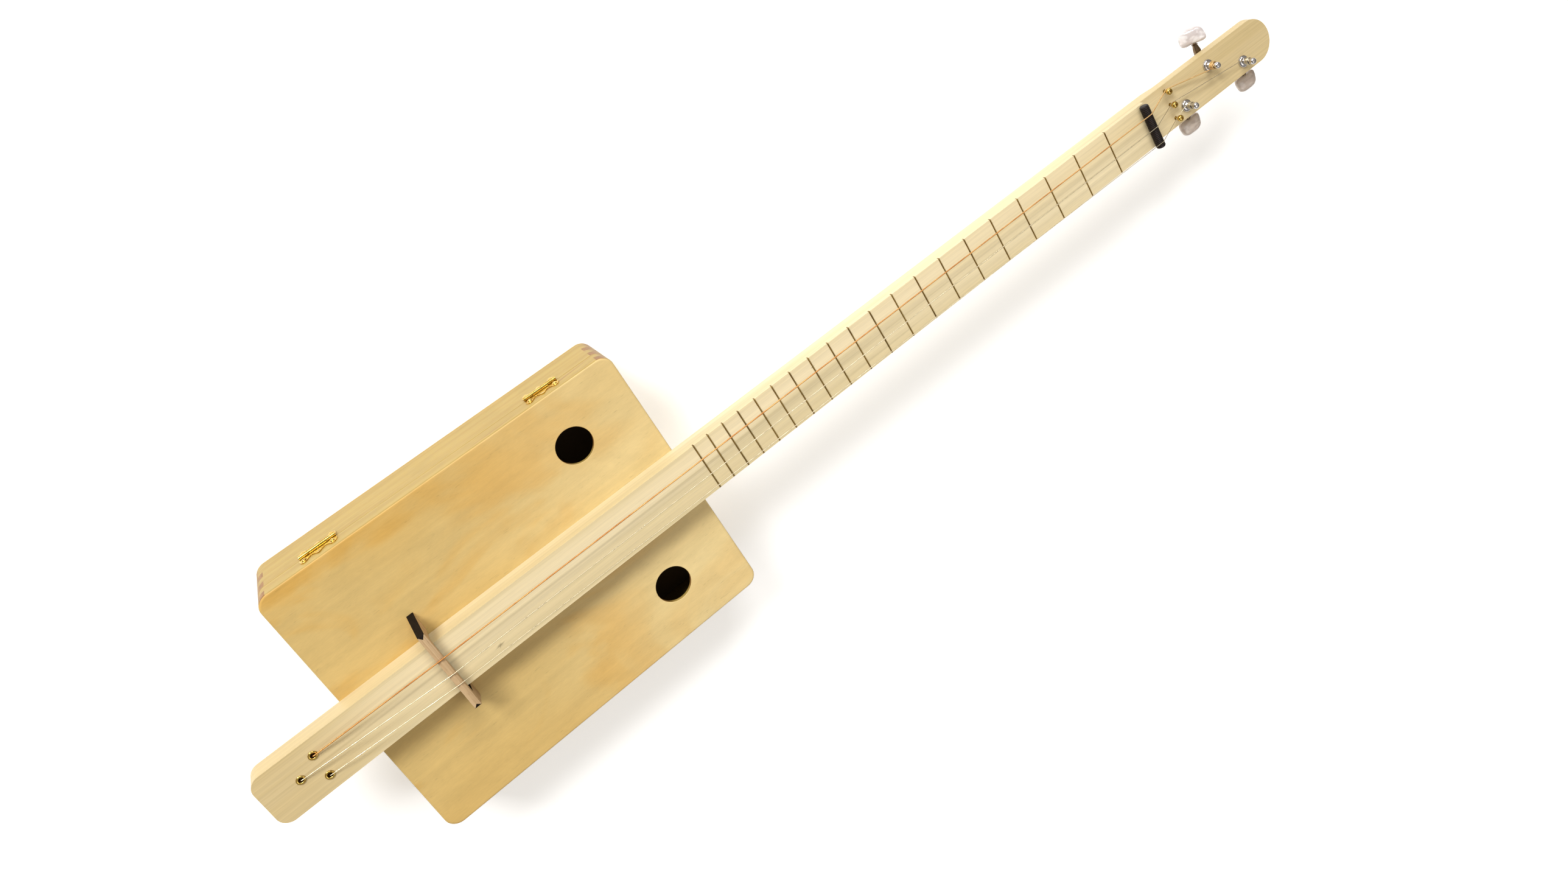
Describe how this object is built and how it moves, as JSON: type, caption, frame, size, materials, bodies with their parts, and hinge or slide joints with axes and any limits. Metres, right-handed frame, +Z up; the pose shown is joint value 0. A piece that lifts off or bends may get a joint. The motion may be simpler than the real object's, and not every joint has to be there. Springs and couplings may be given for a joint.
{
  "type": "cigar box guitar",
  "caption": "Fretted string instrument with a finger-jointed wooden box and hinged lid for a body, a plain stick neck, a rod for a nut and open worm-geared tuners.",
  "frame": {"origin": "centre of the underside of the box, which lies flat on what holds it", "axes": "+X along the neck from the box to the head, +Y to the hinge side of the box, +Z up out of the soundboard"},
  "size_m": [0.9172, 0.208, 0.0818],
  "materials": {
    "box_wood": "clear satin lacquer on pale pine",
    "neck_wood": "clear satin lacquer on cream poplar",
    "bridge_wood": "bare oiled hardwood with darkened ends",
    "brass": "polished",
    "chrome": "bright",
    "black_steel": "black oxide, slightly oily",
    "nickel": "aged nickel",
    "pearloid": "glossy pearloid",
    "bronze": "wound bronze",
    "plain_steel": "bright drawn wire"
  },
  "bodies": {
    "box": {"bottom_panel": "box_wood", "box_sides": "box_wood", "hinge_1_box_leaf": "brass", "hinge_2_box_leaf": "brass"},
    "lid": {"lid_sides": "box_wood", "soundboard": "box_wood", "hinge_1_lid_leaf": "brass", "hinge_2_lid_leaf": "brass", "neck": "neck_wood", "fret_01": "brass", "fret_02": "brass", "fret_03": "brass", "fret_04": "brass", "fret_05": "brass", "fret_06": "brass", "fret_07": "brass", "fret_08": "brass", "fret_09": "brass", "fret_10": "brass", "fret_11": "brass", "fret_12": "brass", "fret_13": "brass", "fret_14": "brass", "fret_15": "brass", "fret_16": "brass", "fret_17": "brass", "fret_18": "brass", "fret_19": "brass", "fret_20": "brass", "nut_rod": "black_steel", "bridge": "bridge_wood", "string_eyelet_1": "brass", "string_eyelet_2": "brass", "string_eyelet_3": "brass", "string_retainer_1": "brass", "string_retainer_2": "brass", "string_retainer_3": "brass", "string_1": "bronze", "string_2": "plain_steel", "string_3": "plain_steel", "tuner_1_bushing": "chrome", "tuner_1_base_plate": "nickel", "tuner_2_bushing": "chrome", "tuner_2_base_plate": "nickel", "tuner_3_bushing": "chrome", "tuner_3_base_plate": "nickel"},
    "tuner_1_shaft": {"tuner_1_worm_shaft": "nickel", "tuner_1_button": "pearloid"},
    "tuner_1_post": {"tuner_1_post_gear": "chrome", "winding_1": "bronze"},
    "tuner_2_shaft": {"tuner_2_worm_shaft": "nickel", "tuner_2_button": "pearloid"},
    "tuner_2_post": {"tuner_2_post_gear": "chrome", "winding_2": "plain_steel"},
    "tuner_3_shaft": {"tuner_3_worm_shaft": "nickel", "tuner_3_button": "pearloid"},
    "tuner_3_post": {"tuner_3_post_gear": "chrome", "winding_3": "plain_steel"}
  },
  "joints": [
    {"name": "lid_hinge", "type": "hinge", "parent": "box", "child": "lid", "pos_m": [0, 0.10405, 0.041], "axis": [-1, 0, 0], "range_deg": [0, 170]},
    {"name": "tuner_1_turn", "type": "hinge", "parent": "lid", "child": "tuner_1_shaft", "pos_m": [0.66445, 0.00835, 0.0535], "axis": [0, 1, 0], "continuous": true},
    {"name": "tuner_1_wind", "type": "hinge", "parent": "lid", "child": "tuner_1_post", "pos_m": [0.65705, 0.00835, 0.0535], "axis": [0, 0, 1], "continuous": true},
    {"name": "tuner_2_turn", "type": "hinge", "parent": "lid", "child": "tuner_2_shaft", "pos_m": [0.69995, -0.00835, 0.0535], "axis": [0, 1, 0], "continuous": true},
    {"name": "tuner_2_wind", "type": "hinge", "parent": "lid", "child": "tuner_2_post", "pos_m": [0.69255, -0.00835, 0.0535], "axis": [0, 0, 1], "continuous": true},
    {"name": "tuner_3_turn", "type": "hinge", "parent": "lid", "child": "tuner_3_shaft", "pos_m": [0.62895, -0.00835, 0.0535], "axis": [0, 1, 0], "continuous": true},
    {"name": "tuner_3_wind", "type": "hinge", "parent": "lid", "child": "tuner_3_post", "pos_m": [0.62155, -0.00835, 0.0535], "axis": [0, 0, 1], "continuous": true}
  ],
  "couplings": [
    {"joint": "tuner_1_wind", "follows": "tuner_1_turn", "ratio": 0.066667},
    {"joint": "tuner_2_wind", "follows": "tuner_2_turn", "ratio": -0.066667},
    {"joint": "tuner_3_wind", "follows": "tuner_3_turn", "ratio": -0.066667}
  ]
}
